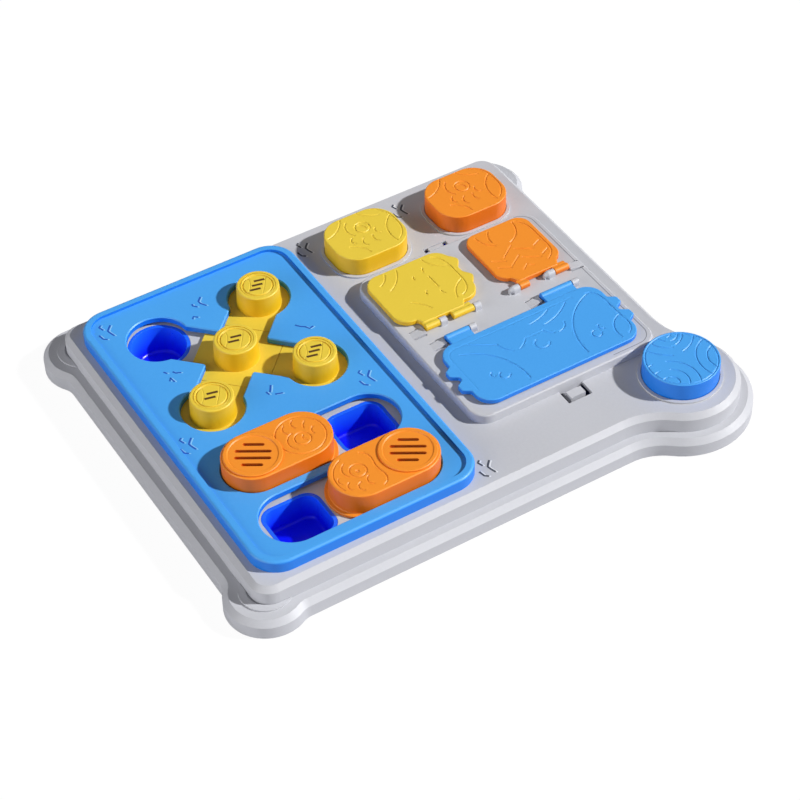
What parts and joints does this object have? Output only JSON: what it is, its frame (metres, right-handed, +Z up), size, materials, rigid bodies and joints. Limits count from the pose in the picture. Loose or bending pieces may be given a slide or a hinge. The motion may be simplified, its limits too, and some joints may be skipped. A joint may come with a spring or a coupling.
{
  "type": "dog puzzle feeder board",
  "caption": "Two-tier treat puzzle board with a frame of sliding pegs, lane sliders, hinged flip lids and lift-off caps over treat cups.",
  "frame": {"origin": "middle of the whole outline, on the surface that the feet stand on", "axes": "+X along the long side towards the side with the flip lids and the big corner lobe, +Y towards the back, away from the big lobe, +Z up"},
  "size_m": [0.434, 0.3584, 0.0525],
  "materials": {
    "grey_shell": "fine moulded texture",
    "blue_shell": "fine moulded texture",
    "deep_blue_cup": "smooth",
    "yellow": "fine moulded texture",
    "orange": "fine moulded texture",
    "foot_rubber": "matt",
    "screw_steel": "zinc plated"
  },
  "bodies": {
    "board": {"base_screws": "screw_steel", "base_shell": "grey_shell", "bottom_plate": "grey_shell", "cap_cup_left": "deep_blue_cup", "cap_cup_right": "deep_blue_cup", "cup_carrier": "grey_shell", "deck_shell": "grey_shell", "foot_back_left": "foot_rubber", "foot_back_right": "foot_rubber", "foot_front_left": "foot_rubber", "foot_front_right": "foot_rubber", "lane_cup_back_left": "deep_blue_cup", "lane_cup_back_right": "deep_blue_cup", "lane_cup_front_left": "deep_blue_cup", "lane_cup_front_right": "deep_blue_cup", "lid_tray": "grey_shell", "puzzle_frame": "blue_shell", "round_cup_back_left": "deep_blue_cup", "round_cup_back_right": "deep_blue_cup", "round_cup_centre": "deep_blue_cup", "round_cup_front_left": "deep_blue_cup", "round_cup_front_right": "deep_blue_cup", "round_cup_lobe": "deep_blue_cup"},
    "peg_centre": {"peg_tile_centre": "yellow", "peg_cap_centre": "yellow"},
    "peg_back_right": {"peg_tile_back_right": "yellow", "peg_cap_back_right": "yellow"},
    "peg_front_right": {"peg_tile_front_right": "yellow", "peg_cap_front_right": "yellow"},
    "peg_front_left": {"peg_tile_front_left": "yellow", "peg_cap_front_left": "yellow"},
    "slider_back_body": {"slider_back": "orange", "vent_cap_back": "orange"},
    "slider_front_body": {"slider_front": "orange", "vent_cap_front": "orange"},
    "flip_left": {"flip_lid_left": "yellow"},
    "flip_right": {"flip_lid_right": "orange"},
    "flip_wide": {"flip_lid_wide": "blue_shell"},
    "cap_left": {"lift_cap_left": "yellow"},
    "cap_right": {"lift_cap_right": "orange"},
    "lid_round": {"round_lid": "blue_shell"}
  },
  "joints": [
    {"name": "slider_back_travel", "type": "slide", "parent": "board", "child": "slider_back_body", "axis": [1, 0, 0], "range_m": [0, 0.0548]},
    {"name": "slider_front_travel", "type": "slide", "parent": "board", "child": "slider_front_body", "axis": [-1, 0, 0], "range_m": [0, 0.0548]},
    {"name": "peg_centre_travel", "type": "slide", "parent": "board", "child": "peg_centre", "axis": [-0.7071, 0.7071, 0], "range_m": [0, 0.06]},
    {"name": "peg_front_right_travel", "type": "slide", "parent": "board", "child": "peg_front_right", "axis": [-0.7071, 0.7071, 0], "range_m": [0, 0.06]},
    {"name": "peg_back_right_play", "type": "slide", "parent": "board", "child": "peg_back_right", "axis": [-0.7071, -0.7071, 0], "range_m": [0, 0.0003]},
    {"name": "peg_front_left_play", "type": "slide", "parent": "board", "child": "peg_front_left", "axis": [0.7071, 0.7071, 0], "range_m": [0, 0.0003]},
    {"name": "flip_left_hinge", "type": "hinge", "parent": "board", "child": "flip_left", "pos_m": [0.0425, 0.00675, 0.042], "axis": [1, 0, 0], "range_deg": [0, 90]},
    {"name": "flip_right_hinge", "type": "hinge", "parent": "board", "child": "flip_right", "pos_m": [0.1305, 0.00675, 0.042], "axis": [1, 0, 0], "range_deg": [0, 90]},
    {"name": "flip_wide_hinge", "type": "hinge", "parent": "board", "child": "flip_wide", "pos_m": [0.0885, -0.01125, 0.042], "axis": [-1, 0, 0], "range_deg": [0, 90]},
    {"name": "cap_left_lift", "type": "slide", "parent": "board", "child": "cap_left", "axis": [0, 0, 1], "range_m": [0, 0.025]},
    {"name": "cap_right_lift", "type": "slide", "parent": "board", "child": "cap_right", "axis": [0, 0, 1], "range_m": [0, 0.025]},
    {"name": "round_lid_lift", "type": "slide", "parent": "board", "child": "lid_round", "axis": [0, 0, 1], "range_m": [0, 0.025]}
  ],
  "couplings": [
    {"joint": "peg_front_right_travel", "follows": "peg_centre_travel", "ratio": 1}
  ]
}
